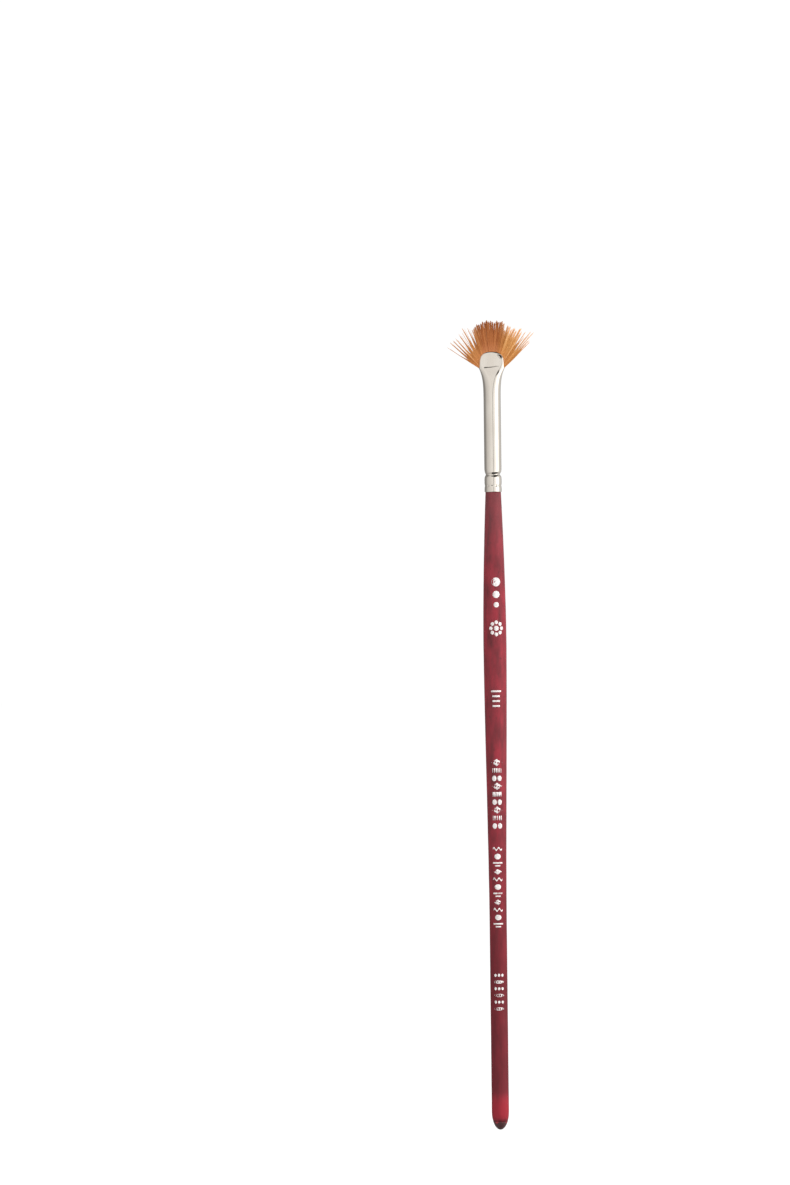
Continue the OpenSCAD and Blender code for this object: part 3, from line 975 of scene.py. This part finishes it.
def emblem(bm, x):
    """A rosette: eight dots round a larger one."""
    middle = 112.05
    ink_dot(bm, (x, middle), 0.55, 0.55)
    for angle in range(0, 360, 45):
        turn = math.radians(angle)
        ink_dot(bm, (x + 1.25 * math.cos(turn), middle + 1.35 * math.sin(turn)), 0.40, 0.42)


def bar_group(bm, x):
    """A long bar and three short ones under it, across the handle."""
    for height, half in ((98.0, 1.15), (96.9, 0.85), (95.8, 0.85), (94.7, 0.85)):
        ink_line(bm, (x - half, height), (x + half, height), 0.4)


def bold_row(bm, x):
    """Nine bold marks down the handle: diamonds, solid bars and pairs of dots by turns."""
    top, pitch = 82.1, 1.77
    for k in range(9):
        z = top - k * pitch
        if k % 3 == 0:
            ink_diamond(bm, (x, z), 1.2, 0.8)
        elif k % 3 == 1:
            ink_block(bm, (x, z), 1.02, 0.5)
        else:
            ink_dot(bm, (x - 0.6, z), 0.5, 0.62)
            ink_dot(bm, (x + 0.6, z), 0.5, 0.62)


def round_row(bm, x):
    """Eleven lighter marks: waves, dots, pairs of dashes and small diamonds by turns."""
    top, pitch = 62.8, 1.7
    for k in range(11):
        z = top - k * pitch
        kind = k % 4
        if kind == 0:
            ink_wave(bm, (x, z), 1.05, 0.28, 0.36)
        elif kind == 1:
            ink_dot(bm, (x, z), 0.72, 0.62)
        elif kind == 2:
            ink_line(bm, (x - 1.1, z + 0.28), (x + 1.1, z + 0.28), 0.34)
            ink_line(bm, (x - 0.6, z - 0.36), (x + 0.6, z - 0.36), 0.30)
        else:
            ink_diamond(bm, (x, z), 0.95, 0.6)


def narrow_row(bm, x):
    """Six narrow marks near the tail: lens shapes and rows of three dots by turns."""
    top, pitch = 34.6, 1.5
    for k in range(6):
        z = top - k * pitch
        if k % 2:
            ink_dot(bm, (x, z), 1.12, 0.34)
        else:
            for across in (-0.8, 0.0, 0.8):
                ink_dot(bm, (x + across, z), 0.27, 0.34)


# What is printed, and how far right of the handle's front line its middle lies.
PRINT = {"size_print": (size_mark, 0.35), "emblem_print": (emblem, 0.3),
         "bar_print": (bar_group, 0.1), "bold_print": (bold_row, 0.05),
         "round_print": (round_row, 0.0), "narrow_print": (narrow_row, 0.0)}


def make_print(ink):
    for name, (draw, across) in PRINT.items():
        bm = bmesh.new()
        draw(bm, across)
        bmesh.ops.recalc_face_normals(bm, faces=bm.faces)
        marks = add_object(name, to_mesh(name, bm), ink)
        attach(marks, "brush_body")


# ---------------------------------------------------------------- hidden inner parts

def dress_inner_parts():
    glue = cured_glue()
    looks = {"handle_core": turned_wood(), "root_binding": twisted_thread(), "hair_root": packed_roots(),
             "tenon_glue": glue, "root_resin": glue}
    for name, material in looks.items():
        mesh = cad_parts[name].data
        mesh.materials.clear()
        mesh.materials.append(material)


# ---------------------------------------------------------------- studio

STAGE_R = 6.0
FLOOR_DROP = 0.0002     # the floor lies this far under the tail
FLOOR_GLOW = 0.94
DOME_GLOW = 1.02


def make_stage():
    """A white floor under the tail and a white dome round everything. They are what the camera sees
    behind the brush; its reflections and soft light come from the world instead."""
    bm = bmesh.new()
    bmesh.ops.create_circle(bm, cap_ends=True, segments=64, radius=STAGE_R)
    material, n = new_material("pale_floor")
    tint = n.noise(n.add("ShaderNodeTexCoord").outputs["Object"], 3.0)
    surface(n, Base_Color=n.blend(tint, (0.14, 0.14, 0.14), (0.16, 0.16, 0.16)), Roughness=0.9,
            Emission_Color=(1.0, 1.0, 1.0, 1.0), Emission_Strength=FLOOR_GLOW)
    floor = add_object("floor", to_mesh("floor", bm), material)
    floor.location.z = TAIL_TIP - FLOOR_DROP

    bm = bmesh.new()
    bmesh.ops.create_uvsphere(bm, u_segments=48, v_segments=24, radius=STAGE_R * 0.98)
    material, n = new_material("white_backdrop")
    glow = n.add("ShaderNodeEmission", {"Color": (1.0, 1.0, 1.0, 1.0), "Strength": DOME_GLOW})
    n.add("ShaderNodeOutputMaterial", {"Surface": glow.outputs[0]})
    dome = add_object("backdrop", to_mesh("backdrop", bm), material)
    for thing in (floor, dome):
        thing.visible_glossy = False
        thing.visible_diffuse = False
    dome.visible_shadow = False


# The walls: (degrees to the right of straight in front of the brush, brightness). They are dark
# behind and brighten from the left to the front. There is a narrow dark strip in the middle of the
# front, and a bright softbox on the right.
WALLS = [(-180, 0.24), (-108, 0.29), (-80, 0.62), (-12, 0.90), (2, 0.90), (5, 0.40), (9, 0.40),
         (12, 0.97), (34, 1.04), (41, 1.6), (82, 1.6), (90, 0.80), (112, 0.66), (146, 0.62),
         (158, 0.26), (180, 0.24)]
WORLD_TINT = (1.0, 0.985, 0.965)
GROUND = 0.62
SCREENS = 0.06          # brightness of the black screens
RIGHT_SCREEN = (5.0, 11.0, 138.0, 150.0)        # one high on the right, between these degrees,
FRONT_SCREEN = (-30.0, -16.0, 90.0, 110.0)      # one low in front, and one overhead


def grey(brightness):
    return tuple(brightness * tint for tint in WORLD_TINT)


def make_world():
    """A soft studio all round, by direction only: walls, ground and three black screens."""
    world = bpy.data.worlds.new("studio")
    bpy.context.scene.world = world
    world.use_nodes = True
    n = Nodes(world.node_tree)
    way = n.add("ShaderNodeTexCoord").outputs["Generated"]
    parts = n.add("ShaderNodeSeparateXYZ", {"Vector": way})
    x, y, z = parts.outputs
    azimuth = n.math("ARCTAN2", x, n.math("MULTIPLY", y, -1.0))
    turn = n.math("ADD", n.math("DIVIDE", azimuth, 2 * math.pi), 0.5)
    degrees = n.math("MULTIPLY", azimuth, 180 / math.pi)
    walls = n.ramp(turn, [((angle + 180) / 360, grey(value)) for angle, value in WALLS])
    right_edge = n.span(degrees, 60.0, 85.0, 0.52, 0.66)
    high = n.span(n.math("SUBTRACT", z, right_edge), 0.0, 0.1)
    low = n.span(z, -0.46, -0.60)
    overhead = n.span(z, 0.90, 0.95)
    dark = n.math("MAXIMUM", overhead, n.math("MULTIPLY", n.between(degrees, RIGHT_SCREEN), high))
    dark = n.math("MAXIMUM", dark, n.math("MULTIPLY", n.between(degrees, FRONT_SCREEN), low))
    colour = n.blend(n.span(z, -0.35, -0.8), walls, grey(GROUND))
    colour = n.blend(dark, colour, grey(SCREENS))
    background = n.add("ShaderNodeBackground", {"Color": colour, "Strength": 0.95})
    n.add("ShaderNodeOutputWorld", {"Surface": background.outputs[0]})


LAMP_COLOUR = (1.0, 0.99, 0.97)


def add_softbox(name, place, aim, width, height, watts):
    data = bpy.data.lights.new(name, "AREA")
    data.shape = "RECTANGLE"
    data.size = width
    data.size_y = height
    data.energy = watts
    data.color = LAMP_COLOUR
    light = bpy.data.objects.new(name, data)
    bpy.context.scene.collection.objects.link(light)
    light.location = place
    light.rotation_euler = (Vector(aim) - Vector(place)).to_track_quat("-Z", "Y").to_euler()
    light.visible_camera = False
    light.visible_glossy = False


def make_lights():
    middle = (0.0, 0.0, 0.09)
    ferrule = (0.0, 0.0, 0.14)
    add_softbox("right_softbox", (0.9, -0.45, 0.60), middle, width=0.7, height=1.0, watts=19.0)
    add_softbox("front_fill", (-0.6, -1.2, 0.6), middle, width=0.8, height=0.8, watts=4.0)
    add_softbox("left_fill", (-0.8, -0.3, 0.45), ferrule, width=0.5, height=0.5, watts=3.0)


bpy.context.scene.view_settings.view_transform = "Standard"
make_camera()
make_world()
make_lights()
make_stage()

make_coating(soft_touch())
make_dip(dipped_end())
make_ferrule(nickel())
make_hair(filament())
make_print(white_ink())
dress_inner_parts()
